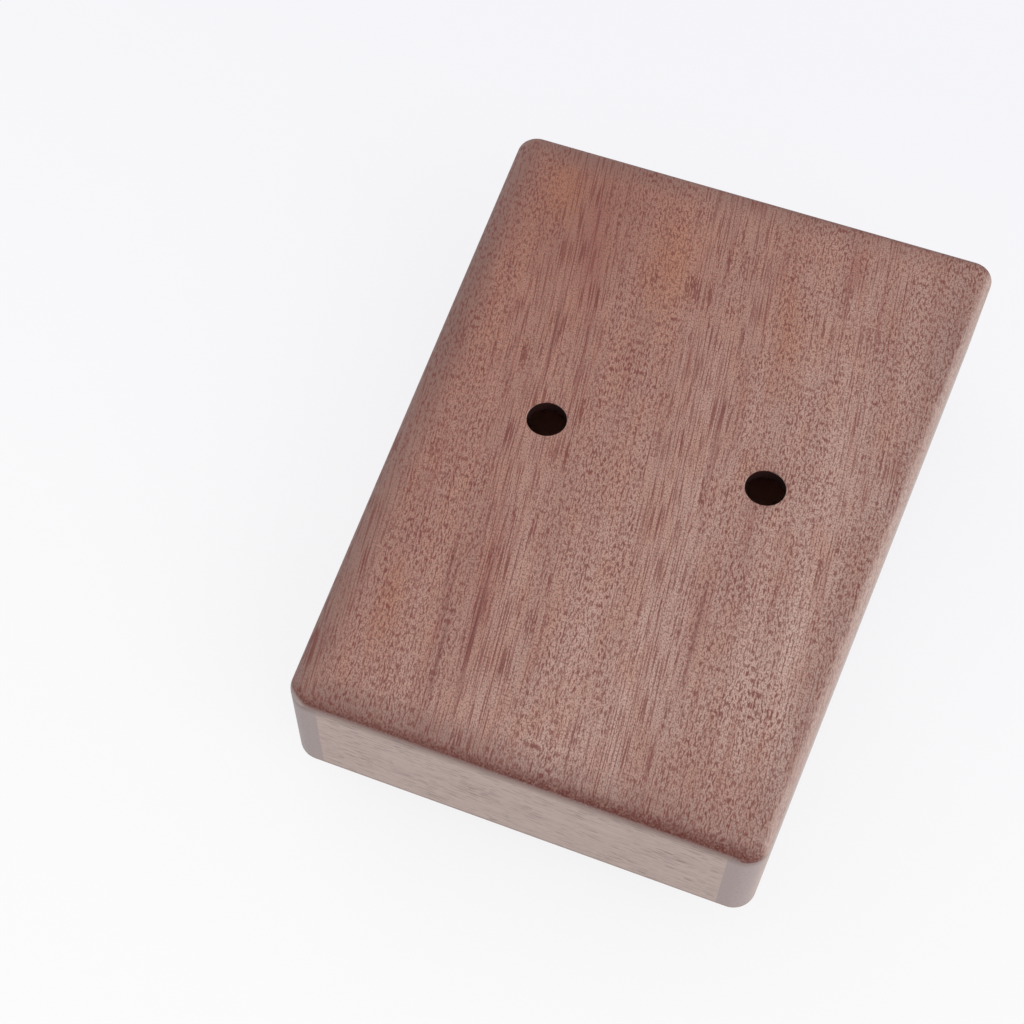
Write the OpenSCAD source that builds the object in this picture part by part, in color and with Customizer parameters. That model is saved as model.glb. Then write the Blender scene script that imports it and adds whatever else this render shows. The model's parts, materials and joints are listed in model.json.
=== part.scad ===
// Box kalimba with seventeen tines, lying face down: its back is up and its tines are underneath.
// Millimetres. +Z is up, +Y points to the wide head end and +X to the right of someone at the tail end.
// The origin is under the middle of the body, on the surface that the tine tips and screw heads rest on.

/* [Sound box] */
// Length of the body from the tail end to the head end
body_len = 183; // [150:1:225]
// Width of the body at the head end
head_w = 134; // [128:1:165]
// Width of the body at the tail end
tail_w = 113; // [92:1:140]
// Radius of the four upright corners
corner_r = 5.5; // [4:0.5:7]
// Radius of the rounded rim on the back plate and on the soundboard
rim_r = 3; // [1:0.25:3.5]
// Thickness of the back plate
back_t = 3; // [2.4:0.2:5]
// Thickness of the soundboard
board_t = 3.2; // [2.4:0.2:5]
// Height of the four rails between the two plates
rail_h = 26.5; // [20:0.5:40]
// Thickness of the two long side rails
side_rail_t = 7.6; // [7:0.2:11]
// Thickness of the two end rails
end_rail_t = 8; // [5:0.5:12]

/* [Holes in the plates] */
// Diameter of each finger hole in the back
finger_hole_d = 10.1; // [6:0.1:16]
// Distance between the centres of the finger holes
finger_hole_spacing = 56.6; // [40:0.2:70]
// How far the pair of finger holes sits to the right of the middle
finger_hole_shift = 1.1; // [-4:0.1:4]
// How far the finger holes sit past the middle of the body, towards the head end
finger_hole_y = 1.3; // [-15:0.1:15]
// Diameter of the sound hole in the soundboard
sound_hole_d = 34; // [20:1:44]
// Distance from the tail end to the centre of the sound hole
sound_hole_from_tail = 50; // [40:1:60]

/* [Bridge] */
// Distance from the head end to the middle of the pressure bar
bridge_from_head = 40; // [32:1:50]
// Height of the bridge base on the soundboard
base_h = 5; // [4:0.5:9]
// Rounding of the bridge base's corners
base_corner_r = 3; // [1:0.5:5]
// How far the bridge base runs past the axis of each rod
base_lip = 4; // [3:0.5:8]
// How far the bridge base runs past the outer tines
base_margin = 3.5; // [2:0.5:6]
// Diameter of the two bridge rods
rod_d = 4; // [3:0.2:6]
// How deep each rod sinks into its groove
rod_sink = 2; // [1:0.1:2.4]
// Distance between the axes of the two rods
rod_span = 18; // [15:0.5:24]
// How far the rods and the bar run past the outer tines
rod_margin = 2; // [0.5:0.5:3]
// Radius of the half-round pressure bar
bar_r = 3.4; // [2.8:0.1:4.5]
// Depth of the block inside the box, along the body
block_depth = 30; // [20:1:36]
// Height of the block inside the box
block_h = 10; // [9:0.5:16]
// Gap between each end of the block and the side rail
block_end_gap = 1; // [0.5:0.5:4]

/* [Screws] */
// Diameter of a screw's shank
screw_d = 2.6; // [2:0.1:3.2]
// Diameter of a screw's head
screw_head_d = 5.6; // [4.6:0.1:6.4]
// Height of a screw's head
screw_head_h = 2.6; // [1.8:0.1:3.4]
// How far a screw bites into the block
screw_bite = 7; // [4:0.5:8]

/* [Tines] */
// Distance between neighbouring tines
tine_pitch = 6; // [5.5:0.1:7.5]
// Width of a tine
tine_w = 4.6; // [3.6:0.1:4.8]
// Thickness of a tine
tine_t = 1; // [0.7:0.05:1.4]
// Length of the longest tine past the front rod
longest_reach = 66; // [55:0.5:80]
// Length of every tine past the rear rod
tine_tail = 8; // [5:0.5:12]
// Slope at which the longest tine leaves the rods, in degrees
tine_lift = 4; // [2:0.5:6]
// Length of the upturned tip
tip_len = 12; // [8:0.5:16]
// How far the tip turns up, in degrees
tip_turn = 12; // [4:1:20]

/* [Clearances] */
// Gap between a tine and the rods or bar that hold it
tine_gap = 0.1; // [0.05:0.05:0.3]
// Least gap between a screw's shank and the tine on either side
screw_clear = 0.4; // [0.2:0.1:0.8]
// Gap around a screw or a rod in its hole or groove
seat_gap = 0.1; // [0.05:0.05:0.3]
// Gap at each end of an end rail, where it meets a side rail
joint_gap = 0.05; // [0.02:0.01:0.2]

/* [Hidden] */
$fn = 96;
// Facets of the rounded rims, which are smooth shells
rim_fn = 32;
rim_step = 15;
// How far a cutting shape runs past what it cuts
overcut = 1;

// The tines, counted from the middle one outwards: a screw follows each of these
tines_each_side = 8;
screw_after = [1, 5];
// Steps of a major scale within one octave, in semitones
scale_steps = [0, 2, 4, 5, 7, 9, 11];
semitones_per_octave = 12;
// Segments in the bow under the bar and in the upturned tip
bow_segments = 4;
tip_segments = 4;
// Cross recess of a screw head: depth, slot width and slot length
recess_depth = 1.4;
recess_slot_w = 0.9;
recess_slot_len = 3;
// Bevel on the edges of the rods and of the screw heads
bevel = 0.4;
// Length of a screw's pointed end
screw_point = 3;

// Plan of the tapered body
flank = atan((head_w - tail_w) / 2 / body_len);
corner_y = body_len / 2 - corner_r;
function half_w(y) = (head_w + tail_w) / 4 + (head_w - tail_w) / 2 * y / body_len;
function corner_x(y) = half_w(y) - corner_r / cos(flank);
function inner_x(y) = half_w(y) - side_rail_t / cos(flank);
corners = [
    [corner_x(corner_y), corner_y],
    [-corner_x(corner_y), corner_y],
    [-corner_x(-corner_y), -corner_y],
    [corner_x(-corner_y), -corner_y]
];
corner_start = [-flank, 90, 180 + flank, 270];
corner_end = [90, 180 + flank, 270, 360 - flank];

// Places along the body
bridge_y = body_len / 2 - bridge_from_head;
front_rod_y = bridge_y - rod_span / 2;
rear_rod_y = bridge_y + rod_span / 2;
sound_hole_y = sound_hole_from_tail - body_len / 2;

// Heights above the soundboard, outwards to the front
rod_axis_h = base_h + rod_d / 2 - rod_sink;
lift_h = rod_axis_h + (rod_d / 2 + tine_gap + tine_t / 2) / cos(tine_lift);
bow_r = rod_span / 2 / sin(tine_lift);
bow_h = lift_h - bow_r * (1 - cos(tine_lift));
bar_bottom_h = bow_h + tine_t / 2 + tine_gap;
bar_top_h = bar_bottom_h + bar_r;
screw_top_h = bar_top_h + screw_head_h;
tip_r = tip_len / (tip_turn * PI / 180);
tip_rise = (longest_reach - tip_len) * sin(tine_lift) + tip_r * (cos(tine_lift) - cos(tine_lift + tip_turn));
tip_top_h = lift_h + tip_rise + tine_t / 2 * cos(tine_lift + tip_turn);
front_h = max(screw_top_h, tip_top_h);

// Heights above the surface that the kalimba lies on
board_z = front_h;
rail_z = board_z + board_t;
back_z = rail_z + rail_h;

// Tines across the bridge: 0 is the middle one, 8 the player's far left and -8 the far right.
// The tines on either side of a screw stand further apart where its shank needs the room.
screw_room = max(0, screw_d + 2 * screw_clear + tine_w - tine_pitch);
function screws_passed(i) = len([for (s = screw_after) if (abs(i) > s) s]);
function tine_x(i) = i * tine_pitch + sign(i) * screws_passed(i) * screw_room;
function screw_x(s) = (tine_x(s) + tine_x(s + 1)) / 2;
screw_xs = [for (side = [-1, 1]) for (s = screw_after) side * screw_x(s)];
field_half = tine_x(tines_each_side) + tine_w / 2;
base_len = 2 * (field_half + base_margin);
rod_len = 2 * (field_half + rod_margin);
block_len = 2 * (inner_x(bridge_y - block_depth / 2) - block_end_gap);
screw_len = bar_top_h + board_t + screw_bite;

// The middle tine is the lowest note, and the scale climbs left, right, left, right from it.
// The pitch of a clamped strip goes with one over its length squared.
function note(i) = i > 0 ? 2 * i - 1 : -2 * i;
function semitones(n) =
    semitones_per_octave * floor(n / len(scale_steps)) + scale_steps[n % len(scale_steps)];
function reach(i) = longest_reach * pow(2, -semitones(note(i)) / (2 * semitones_per_octave));

// Middle line of a tine seen from the side: distance forward of the bar, and height off the soundboard.
// The bow is alike on all tines. Each blade is set at the slope that brings all tips to one height.
function blade_slope(i) =
    let (forward = reach(i) - tip_len + tip_r * sin(tip_turn), up = tip_r * (1 - cos(tip_turn)))
        asin(tip_rise / norm([forward, up])) - atan2(up, forward);
function bow_point(a) = [bow_r * sin(a), bow_h + bow_r * (1 - cos(a))];
function tail_point() = bow_point(-tine_lift) + tine_tail * [-cos(tine_lift), sin(tine_lift)];
function blade_end(i) =
    bow_point(tine_lift) + (reach(i) - tip_len) * [cos(blade_slope(i)), sin(blade_slope(i))];
function tip_point(i, turned) =
    let (low = blade_slope(i), a = low + turned)
        blade_end(i) + tip_r * [sin(a) - sin(low), cos(low) - cos(a)];
function stations(i) = concat(
    [[tail_point(), -tine_lift]],
    [for (k = [0:bow_segments])
        let (a = tine_lift * (2 * k / bow_segments - 1)) [bow_point(a), a]],
    [for (k = [0:tip_segments])
        let (turned = tip_turn * k / tip_segments) [tip_point(i, turned), blade_slope(i) + turned]]
);
function beside(station, d) = station[0] + d * [-sin(station[1]), cos(station[1])];
function tine_side(i) = let (path = stations(i), last = len(path) - 1) concat(
    [for (k = [0:last]) beside(path[k], tine_t / 2)],
    [for (k = [last:-1:0]) beside(path[k], -tine_t / 2)]
);
function tine_front(i) = max([for (p = tine_side(i)) p[0]]);

// Tines are numbered from the player's left
function tine_name(n) = str("tine_", n < 10 ? "0" : "", n);
tine_count = 2 * tines_each_side + 1;
tine_names = [for (n = [1:tine_count]) tine_name(n)];
body_names = [
    "back_plate", "soundboard", "left_side_rail", "right_side_rail", "head_end_rail", "tail_end_rail",
    "bridge_block", "bridge_base", "front_bridge_rod", "rear_bridge_rod", "pressure_bar", "bridge_screws"
];

// Outline of the body with round corners
module body_outline() {
    for (corner = corners)
        translate(corner) circle(corner_r);
    polygon([
        for (k = [0:3]) for (a = [corner_start[k], corner_end[k]])
            corners[k] + corner_r * [cos(a), sin(a)]
    ]);
}

// Half section of a plate at a corner, with its upper rim rounded
module rim_section(t) {
    rim = min(rim_r, t);
    arc = [for (a = [0:rim_step:90]) [corner_r - rim + rim * cos(a), t - rim + rim * sin(a)]];
    polygon(concat([[0, 0], [corner_r, 0]], arc, [[0, t]]));
}

// Plate of the body's outline from z = 0 to z = t, with its upper rim rounded
module rimmed_plate(t) {
    hull()
        for (corner = corners)
            translate([corner[0], corner[1], 0])
                rotate_extrude($fn = rim_fn) rim_section(t);
}

// Upright bore at x, y from z = low to z = high
module bore(x, y, d, low, high) {
    translate([x, y, low - overcut]) cylinder(d = d, h = high - low + 2 * overcut);
}

module screw_bores(low, high) {
    for (x = screw_xs)
        bore(x, bridge_y, screw_d + 2 * seat_gap, low, high);
}

// Rod along X with bevelled ends
module rod(y, d, len) {
    translate([-len / 2, y, front_h - rod_axis_h])
        rotate([90, 0, 90])
            rotate_extrude()
                polygon([
                    [0, 0], [d / 2 - bevel, 0], [d / 2, bevel],
                    [d / 2, len - bevel], [d / 2 - bevel, len], [0, len]
                ]);
}

module rod_groove(y) {
    translate([-base_len / 2 - overcut, y, front_h - rod_axis_h])
        rotate([0, 90, 0])
            cylinder(d = rod_d + 2 * seat_gap, h = base_len + 2 * overcut);
}

module back_plate() {
    color("#9c7064")
        translate([0, 0, back_z])
            difference() {
                rimmed_plate(back_t);
                for (side = [-1, 1])
                    bore(finger_hole_shift + side * finger_hole_spacing / 2, finger_hole_y,
                         finger_hole_d, 0, back_t);
            }
}

module soundboard() {
    color("#a5786a")
        difference() {
            translate([0, 0, rail_z]) mirror([0, 0, 1]) rimmed_plate(board_t);
            bore(0, sound_hole_y, sound_hole_d, board_z, rail_z);
            screw_bores(board_z, rail_z);
        }
}

// Long rail through to both ends: side is 1 on the right and -1 on the left
module side_rail(side) {
    y = body_len / 2 + overcut;
    translate([0, 0, rail_z])
        linear_extrude(rail_h)
            intersection() {
                body_outline();
                polygon([
                    [side * inner_x(-y), -y], [side * head_w, -y],
                    [side * head_w, y], [side * inner_x(y), y]
                ]);
            }
}

module left_side_rail() {
    color("#a98c80") side_rail(-1);
}

module right_side_rail() {
    color("#a98c80") side_rail(1);
}

// Short rail between the side rails: end is 1 at the head and -1 at the tail
module end_rail(end) {
    outer = end * body_len / 2;
    inner = outer - end * end_rail_t;
    translate([0, 0, rail_z])
        linear_extrude(rail_h)
            polygon([
                [inner_x(outer) - joint_gap, outer], [inner_x(inner) - joint_gap, inner],
                [joint_gap - inner_x(inner), inner], [joint_gap - inner_x(outer), outer]
            ]);
}

module head_end_rail() {
    color("#ad9284") end_rail(1);
}

module tail_end_rail() {
    color("#ad9284") end_rail(-1);
}

module bridge_block() {
    color("#b08c6c")
        difference() {
            translate([-block_len / 2, bridge_y - block_depth / 2, rail_z])
                cube([block_len, block_depth, block_h]);
            screw_bores(rail_z, rail_z + screw_bite);
        }
}

module bridge_base() {
    size = [base_len, rod_span + 2 * base_lip];
    color("#5b3526")
        difference() {
            translate([0, bridge_y, front_h - base_h])
                linear_extrude(base_h) {
                    square([size[0] - 2 * base_corner_r, size[1]], center = true);
                    square([size[0], size[1] - 2 * base_corner_r], center = true);
                    for (sx = [-1, 1]) for (sy = [-1, 1])
                        translate([sx * (size[0] / 2 - base_corner_r), sy * (size[1] / 2 - base_corner_r)])
                            circle(base_corner_r);
                }
            rod_groove(front_rod_y);
            rod_groove(rear_rod_y);
            screw_bores(front_h - base_h, front_h);
        }
}

module front_bridge_rod() {
    color("#c9a253") rod(front_rod_y, rod_d, rod_len);
}

module rear_bridge_rod() {
    color("#c9a253") rod(rear_rod_y, rod_d, rod_len);
}

// Half-round bar: its round side presses the tines and its flat side carries the screw heads
module pressure_bar() {
    flat_z = front_h - bar_top_h;
    color("#b9bcc0")
        difference() {
            intersection() {
                translate([-rod_len / 2, bridge_y, flat_z])
                    rotate([0, 90, 0]) cylinder(r = bar_r, h = rod_len);
                translate([-rod_len / 2 - overcut, bridge_y - bar_r - overcut, flat_z])
                    cube([rod_len + 2 * overcut, 2 * (bar_r + overcut), bar_r + overcut]);
            }
            screw_bores(flat_z, flat_z + bar_r);
        }
}

// Screw from its head at z = 0 up to its point, with a cross recess in the head
module bridge_screw() {
    tip_z = screw_head_h + screw_len;
    difference() {
        rotate_extrude()
            polygon([
                [0, 0], [screw_head_d / 2 - bevel, 0], [screw_head_d / 2, bevel],
                [screw_head_d / 2, screw_head_h], [screw_d / 2, screw_head_h],
                [screw_d / 2, tip_z - screw_point], [0, tip_z]
            ]);
        for (turn = [0, 90])
            rotate([0, 0, turn])
                translate([-recess_slot_len / 2, -recess_slot_w / 2, -overcut])
                    cube([recess_slot_len, recess_slot_w, recess_depth + overcut]);
    }
}

module bridge_screws() {
    color("#8e9196")
        for (x = screw_xs)
            translate([x, bridge_y, front_h - screw_top_h]) bridge_screw();
}

// Strip of spring steel: bowed under the bar, straight over the soundboard, with a round upturned tip
module tine(i) {
    round_y = tine_w / 2 - tine_front(i);
    color("#c4c7ca")
        intersection() {
            translate([tine_x(i) - tine_w / 2, bridge_y, front_h])
                rotate([-90, 0, -90])
                    linear_extrude(tine_w) polygon(tine_side(i));
            translate([tine_x(i), bridge_y, -overcut])
                linear_extrude(front_h + 2 * overcut) {
                    translate([0, round_y]) circle(d = tine_w);
                    translate([-tine_w / 2, round_y]) square([tine_w, body_len]);
                }
        }
}

back_plate();
soundboard();
left_side_rail();
right_side_rail();
head_end_rail();
tail_end_rail();
bridge_block();
bridge_base();
front_bridge_rod();
rear_bridge_rod();
pressure_bar();
bridge_screws();
for (n = [1:tine_count])
    tine(tines_each_side + 1 - n);
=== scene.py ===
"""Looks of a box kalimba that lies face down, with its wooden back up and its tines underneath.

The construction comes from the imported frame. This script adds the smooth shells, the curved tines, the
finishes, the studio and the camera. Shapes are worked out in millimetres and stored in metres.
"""

import json
import logging
import math
from collections.abc import Sequence
from dataclasses import dataclass
from enum import Enum
from typing import Any

import bmesh
import bpy
import numpy as np
from mathutils import Matrix, Vector


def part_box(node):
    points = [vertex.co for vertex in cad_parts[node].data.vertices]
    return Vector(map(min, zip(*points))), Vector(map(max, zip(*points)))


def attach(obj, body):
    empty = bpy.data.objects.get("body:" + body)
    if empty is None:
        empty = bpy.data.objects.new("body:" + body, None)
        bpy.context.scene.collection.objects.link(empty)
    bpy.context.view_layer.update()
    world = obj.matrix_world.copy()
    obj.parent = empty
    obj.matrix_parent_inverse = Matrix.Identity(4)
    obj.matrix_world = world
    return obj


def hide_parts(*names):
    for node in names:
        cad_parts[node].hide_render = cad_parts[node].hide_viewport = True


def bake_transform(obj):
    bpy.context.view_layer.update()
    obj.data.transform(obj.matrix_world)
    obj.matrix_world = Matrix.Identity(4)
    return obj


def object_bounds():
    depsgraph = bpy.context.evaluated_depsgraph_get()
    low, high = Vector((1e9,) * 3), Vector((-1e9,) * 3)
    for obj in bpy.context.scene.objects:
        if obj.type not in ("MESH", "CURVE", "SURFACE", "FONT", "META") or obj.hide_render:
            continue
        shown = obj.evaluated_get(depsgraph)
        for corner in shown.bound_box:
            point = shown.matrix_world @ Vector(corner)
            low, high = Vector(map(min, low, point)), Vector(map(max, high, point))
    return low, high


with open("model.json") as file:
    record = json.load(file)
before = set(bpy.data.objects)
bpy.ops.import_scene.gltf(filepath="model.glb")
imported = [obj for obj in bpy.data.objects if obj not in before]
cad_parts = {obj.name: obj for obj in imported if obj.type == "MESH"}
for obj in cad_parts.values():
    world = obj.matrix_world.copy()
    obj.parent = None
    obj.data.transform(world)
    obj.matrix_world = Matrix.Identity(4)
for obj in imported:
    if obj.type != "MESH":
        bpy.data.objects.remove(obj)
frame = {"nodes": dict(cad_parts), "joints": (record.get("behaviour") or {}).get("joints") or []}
CAD_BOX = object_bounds()

LOG = logging.getLogger("kalimba")
MM = 0.001
WELD_MM = 0.001
COLLAPSED_MM = 0.0001
# Edges that turn more than this stay sharp, and faces that turn more than this from level are walls
SHARP_DEG = 32.0
WALL_DEG = 60.0
LACQUER_IOR = 1.46
# Size of a pattern that goes right through a board
ENDLESS_MM = 1e6

Array = np.ndarray
Object = bpy.types.Object
Node = bpy.types.Node
Socket = bpy.types.NodeSocket
Tree = bpy.types.NodeTree
Material = bpy.types.Material
# A size, a place or a direction in x, y and z, and a colour that is laid over others by its share
Triple = tuple[float, float, float]
Layer = tuple[Node, str | Socket]

# Kinds of shader node
MATH = "ShaderNodeMath"
VECTOR_MATH = "ShaderNodeVectorMath"
NOISE = "ShaderNodeTexNoise"
MAP_RANGE = "ShaderNodeMapRange"
MIX = "ShaderNodeMix"
MIX_SHADER = "ShaderNodeMixShader"
COORDINATES = "ShaderNodeTexCoord"
SEPARATE = "ShaderNodeSeparateXYZ"
COMBINE = "ShaderNodeCombineXYZ"
BUMP = "ShaderNodeBump"
PRINCIPLED = "ShaderNodeBsdfPrincipled"
BACKGROUND = "ShaderNodeBackground"
OUTPUT = "ShaderNodeOutputMaterial"
# Places of the sockets for values and for colours on a mix node
MIX_VALUE_A = 2
MIX_VALUE_B = 3
MIX_A = 6
MIX_B = 7
MIX_RESULT = 2


class Side(Enum):
    """Side of the body, seen from the tail end with the back up."""

    LEFT = -1
    RIGHT = 1


class GrainAxis(Enum):
    """Direction in which the grain of a straight piece runs."""

    ACROSS = 0
    ALONG = 1

    def drawn_out(self, width: float, length: float) -> tuple[float, ...]:
        """Sizes in x, y and z of a mark that is longer along the grain."""
        return tuple(length if axis == self.value else width for axis in range(3))


def box_mm(node: str) -> tuple[Array, Array]:
    """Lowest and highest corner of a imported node's box, in millimetres."""
    low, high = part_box(node)
    return np.array(low) / MM, np.array(high) / MM


def linear(colour: str) -> tuple[float, float, float, float]:
    """Turns a written colour into the linear values that shaders work with.

    Args:
        colour: sRGB colour as a hex string such as "#9C7064".

    Returns:
        Linear red, green, blue and an alpha of one.
    """
    srgb = np.array([int(colour[k:k + 2], 16) for k in (1, 3, 5)]) / 255
    straight = np.where(srgb <= 0.04045, srgb / 12.92, ((srgb + 0.055) / 1.055) ** 2.4)
    return (*straight.tolist(), 1.0)


def blank_material(name: str) -> Material:
    """Makes a material with an empty node tree.

    Args:
        name: Name of the material.

    Returns:
        The material.
    """
    made = bpy.data.materials.new(name)
    made.use_nodes = True
    made.node_tree.nodes.clear()
    return made


def add_node(tree: Tree, kind: str, inputs: dict | Sequence = (), **settings: Any) -> Node:
    """Adds one node, with its settings and its links.

    Args:
        tree: Node tree that gets the node.
        kind: Type name of the node.
        inputs: Values by name or place, or in order: a constant, a socket, or a node for its first output.
        **settings: Properties of the node itself.

    Returns:
        The new node.
    """
    node = tree.nodes.new(kind)
    for name, value in settings.items():
        setattr(node, name, value)
    for name, value in inputs.items() if isinstance(inputs, dict) else enumerate(inputs):
        source = value.outputs[0] if isinstance(value, Node) else value
        if isinstance(source, Socket):
            tree.links.new(source, node.inputs[name])
        else:
            node.inputs[name].default_value = source
    return node


@dataclass(frozen=True)
class Ramp:
    """Even change from low to high while another value goes from start to end, and flat outside that."""

    start: float = 0.0
    end: float = 1.0
    low: float = 0.0
    high: float = 1.0

    def of(self, value: Node | Socket) -> dict[str, Any]:
        """Inputs that set a range node to this ramp."""
        return {"Value": value, "From Min": self.start, "From Max": self.end,
                "To Min": self.low, "To Max": self.high}


def new_object(name: str, data: bpy.types.ID) -> Object:
    """Makes an object and links it to the scene.

    Args:
        name: Name of the object.
        data: Its mesh, light or camera.

    Returns:
        The object, at the origin.
    """
    made = bpy.data.objects.new(name, data)
    bpy.context.scene.collection.objects.link(made)
    return made


@dataclass(frozen=True)
class Surface:
    """Patch of surface: points in millimetres, and quads that index them."""

    points: Array
    quads: Array

    @classmethod
    def from_grid(cls, grid: Array, wrap_rows: bool = False, wrap_columns: bool = False) -> "Surface":
        """Joins a grid of points into quads, each from a point to its neighbours in row and column.

        Args:
            grid: Points as an array of rows, columns and three coordinates.
            wrap_rows: Whether the last row joins the first.
            wrap_columns: Whether the last column joins the first.

        Returns:
            The patch.
        """
        rows, columns = grid.shape[:2]
        index = np.arange(rows * columns).reshape(rows, columns)
        index = np.concatenate([index, index[:1]]) if wrap_rows else index
        index = np.concatenate([index, index[:, :1]], axis=1) if wrap_columns else index
        corners = [index[:-1, :-1], index[1:, :-1], index[1:, 1:], index[:-1, 1:]]
        return cls(grid.reshape(-1, 3), np.stack(corners, axis=-1).reshape(-1, 4))

    def piece(self, name: str, *others: "Surface") -> Object:
        """Makes an object from this patch and others, welded along their shared edges.

        Args:
            name: Name of the piece.
            *others: Patches that close the shape.

        Returns:
            The object, at the origin, without collapsed faces, and with smooth faces that point outwards.
        """
        patches = [self, *others]
        starts = np.cumsum([0] + [len(patch.points) for patch in patches])
        points = np.concatenate([patch.points for patch in patches]) * MM
        quads = np.concatenate([patch.quads + start for patch, start in zip(patches, starts)])
        keys = np.round(points / (WELD_MM * MM)).astype(np.int64)
        _, first, welded = np.unique(keys, axis=0, return_index=True, return_inverse=True)
        mesh = bpy.data.meshes.new(name)
        mesh.from_pydata(points[first].tolist(), [], welded.ravel()[quads].tolist())
        mesh.validate()
        shell = bmesh.new()
        shell.from_mesh(mesh)
        bmesh.ops.dissolve_degenerate(shell, dist=COLLAPSED_MM * MM, edges=shell.edges)
        bmesh.ops.recalc_face_normals(shell, faces=shell.faces)
        shell.to_mesh(mesh)
        shell.free()
        mesh.shade_smooth()
        mesh.set_sharp_from_angle(angle=math.radians(SHARP_DEG))
        return new_object(name, mesh)


def at_height(plan: Array, z: float | Array) -> Array:
    """Lifts points of a plan to a height, one for all or one each."""
    return np.concatenate([plan, np.broadcast_to(z, plan.shape[:-1])[..., None]], axis=-1)


def dress(piece: Object, material: Material) -> None:
    """Gives a piece one material for all its faces, and reports it.

    Args:
        piece: The piece.
        material: Its finish.
    """
    piece.data.materials.clear()
    piece.data.materials.append(material)
    LOG.info("%s: %d faces, %s", piece.name, len(piece.data.polygons), material.name)


@dataclass(frozen=True)
class TaperedOutline:
    """Plan of the body: a tapered rectangle with round corners, wide at the head end."""

    length: float
    head_width: float = 134.0
    tail_width: float = 113.0
    corner_radius: float = 5.5
    arc_steps: int = 12
    side_steps: int = 60
    end_steps: int = 24

    @property
    def slope(self) -> float:
        """How much the half width grows along the body."""
        return (self.head_width - self.tail_width) / 2 / self.length

    @property
    def flank(self) -> float:
        """Angle by which each side leans away from the length of the body, in radians."""
        return math.atan(self.slope)

    def half_width(self, y: float | Array) -> float | Array:
        """Half the width of the sharp-cornered taper at a place along the body."""
        return (self.head_width + self.tail_width) / 4 + self.slope * y

    def corner(self, end: int) -> Array:
        """Centre of the right corner's arc: end is 1 at the head and -1 at the tail."""
        y = end * (self.length / 2 - self.corner_radius)
        return np.array([self.half_width(y) - self.corner_radius / math.cos(self.flank), y])

    def right_side(self, inset: float) -> Array:
        """Right half of the outline, from the middle of the tail end to the middle of the head end.

        Straight runs are spaced evenly. At a corner the points are the arc's centre plus its radius, less
        the inset, times the cosine and sine of an even run of angles.

        Args:
            inset: Distance inside the outline.

        Returns:
            Points with two coordinates.
        """
        radius = self.corner_radius - inset
        tail = np.linspace(-math.pi / 2, -self.flank, self.arc_steps + 1)
        head = np.linspace(-self.flank, math.pi / 2, self.arc_steps + 1)
        tail_arc, head_arc = (
            self.corner(end) + radius * np.stack([np.cos(angles), np.sin(angles)], axis=1)
            for end, angles in ((-1, tail), (1, head)))
        tail_middle = np.array([0.0, tail_arc[0, 1]])
        head_middle = np.array([0.0, head_arc[-1, 1]])
        return np.concatenate([
            np.linspace(tail_middle, tail_arc[0], self.end_steps, endpoint=False),
            tail_arc[:-1],
            np.linspace(tail_arc[-1], head_arc[0], self.side_steps, endpoint=False),
            head_arc[:-1],
            np.linspace(head_arc[-1], head_middle, self.end_steps + 1),
        ])

    def half_loop(self, side: Side, inset: float) -> Array:
        """Closed plan of one half of the body, up one side and back along the middle line.

        Args:
            side: Which half.
            inset: Distance inside the outline.

        Returns:
            Points with two coordinates, the last not repeating the first.
        """
        outer = self.right_side(inset) * [side.value, 1]
        middle = np.linspace(outer[-1], outer[0], self.side_steps, endpoint=False)[1:]
        return np.concatenate([outer, middle])

    def loop(self, inset: float) -> Array:
        """Whole outline as a closed run of points, the last not repeating the first."""
        right = self.right_side(inset)
        return np.concatenate([right, right[-2:0:-1] * [-1, 1]])


@dataclass(frozen=True)
class Finish:
    """Finish of a piece: a material with one shader, to which each kind of finish gives its inputs."""

    name: str

    def inputs(self, tree: Tree) -> dict[str, Any]:
        """Builds the finish's own nodes and gives the inputs of its shader."""
        raise NotImplementedError

    def material(self) -> Material:
        """Builds the material.

        Returns:
            A node material on object coordinates, all of whose patterns are sized in millimetres.
        """
        made = blank_material(self.name)
        shader = add_node(made.node_tree, PRINCIPLED, self.inputs(made.node_tree))
        add_node(made.node_tree, OUTPUT, {"Surface": shader})
        return made

    @staticmethod
    def laid_over(tree: Tree, ground: str, layers: list[Layer]) -> Socket:
        """Lays colours over a ground in order, each by its share.

        Args:
            tree: Node tree to build in.
            ground: Colour of the ground.
            layers: Share and colour of each layer.

        Returns:
            The colour of them all together.
        """
        colour = linear(ground)
        for share, tint in layers:
            over = linear(tint) if isinstance(tint, str) else tint
            mixed = add_node(tree, MIX, {0: share, MIX_A: colour, MIX_B: over}, data_type="RGBA")
            colour = mixed.outputs[MIX_RESULT]
        return colour


class WoodTree:
    """Node tree of a wooden piece's material, with the coordinates that its patterns follow.

    Attributes:
        tree: The node tree.
        point: Object coordinates in millimetres.
        place: The same, as sockets X, Y and Z.
        facing: Direction in which the surface faces.
        normal: The same, as sockets X, Y and Z.
        grain: Coordinates that follow the grain. They are the point's where it runs straight.
    """

    def __init__(self, tree: Tree) -> None:
        """Starts the tree with its coordinates.

        Args:
            tree: Empty node tree.
        """
        source = add_node(tree, COORDINATES)
        self.tree = tree
        self.point = add_node(
            tree, VECTOR_MATH, (source.outputs["Object"], (1 / MM,) * 3), operation="MULTIPLY")
        self.place = add_node(tree, SEPARATE, (self.point,)).outputs
        self.facing = source.outputs["Normal"]
        self.normal = add_node(tree, SEPARATE, (self.facing,)).outputs
        self.grain = self.point

    def counted(self, size: Triple) -> Node:
        """Grain coordinates counted in patches of a size in millimetres."""
        return add_node(self.tree, VECTOR_MATH, (self.grain, size), operation="DIVIDE")


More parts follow.
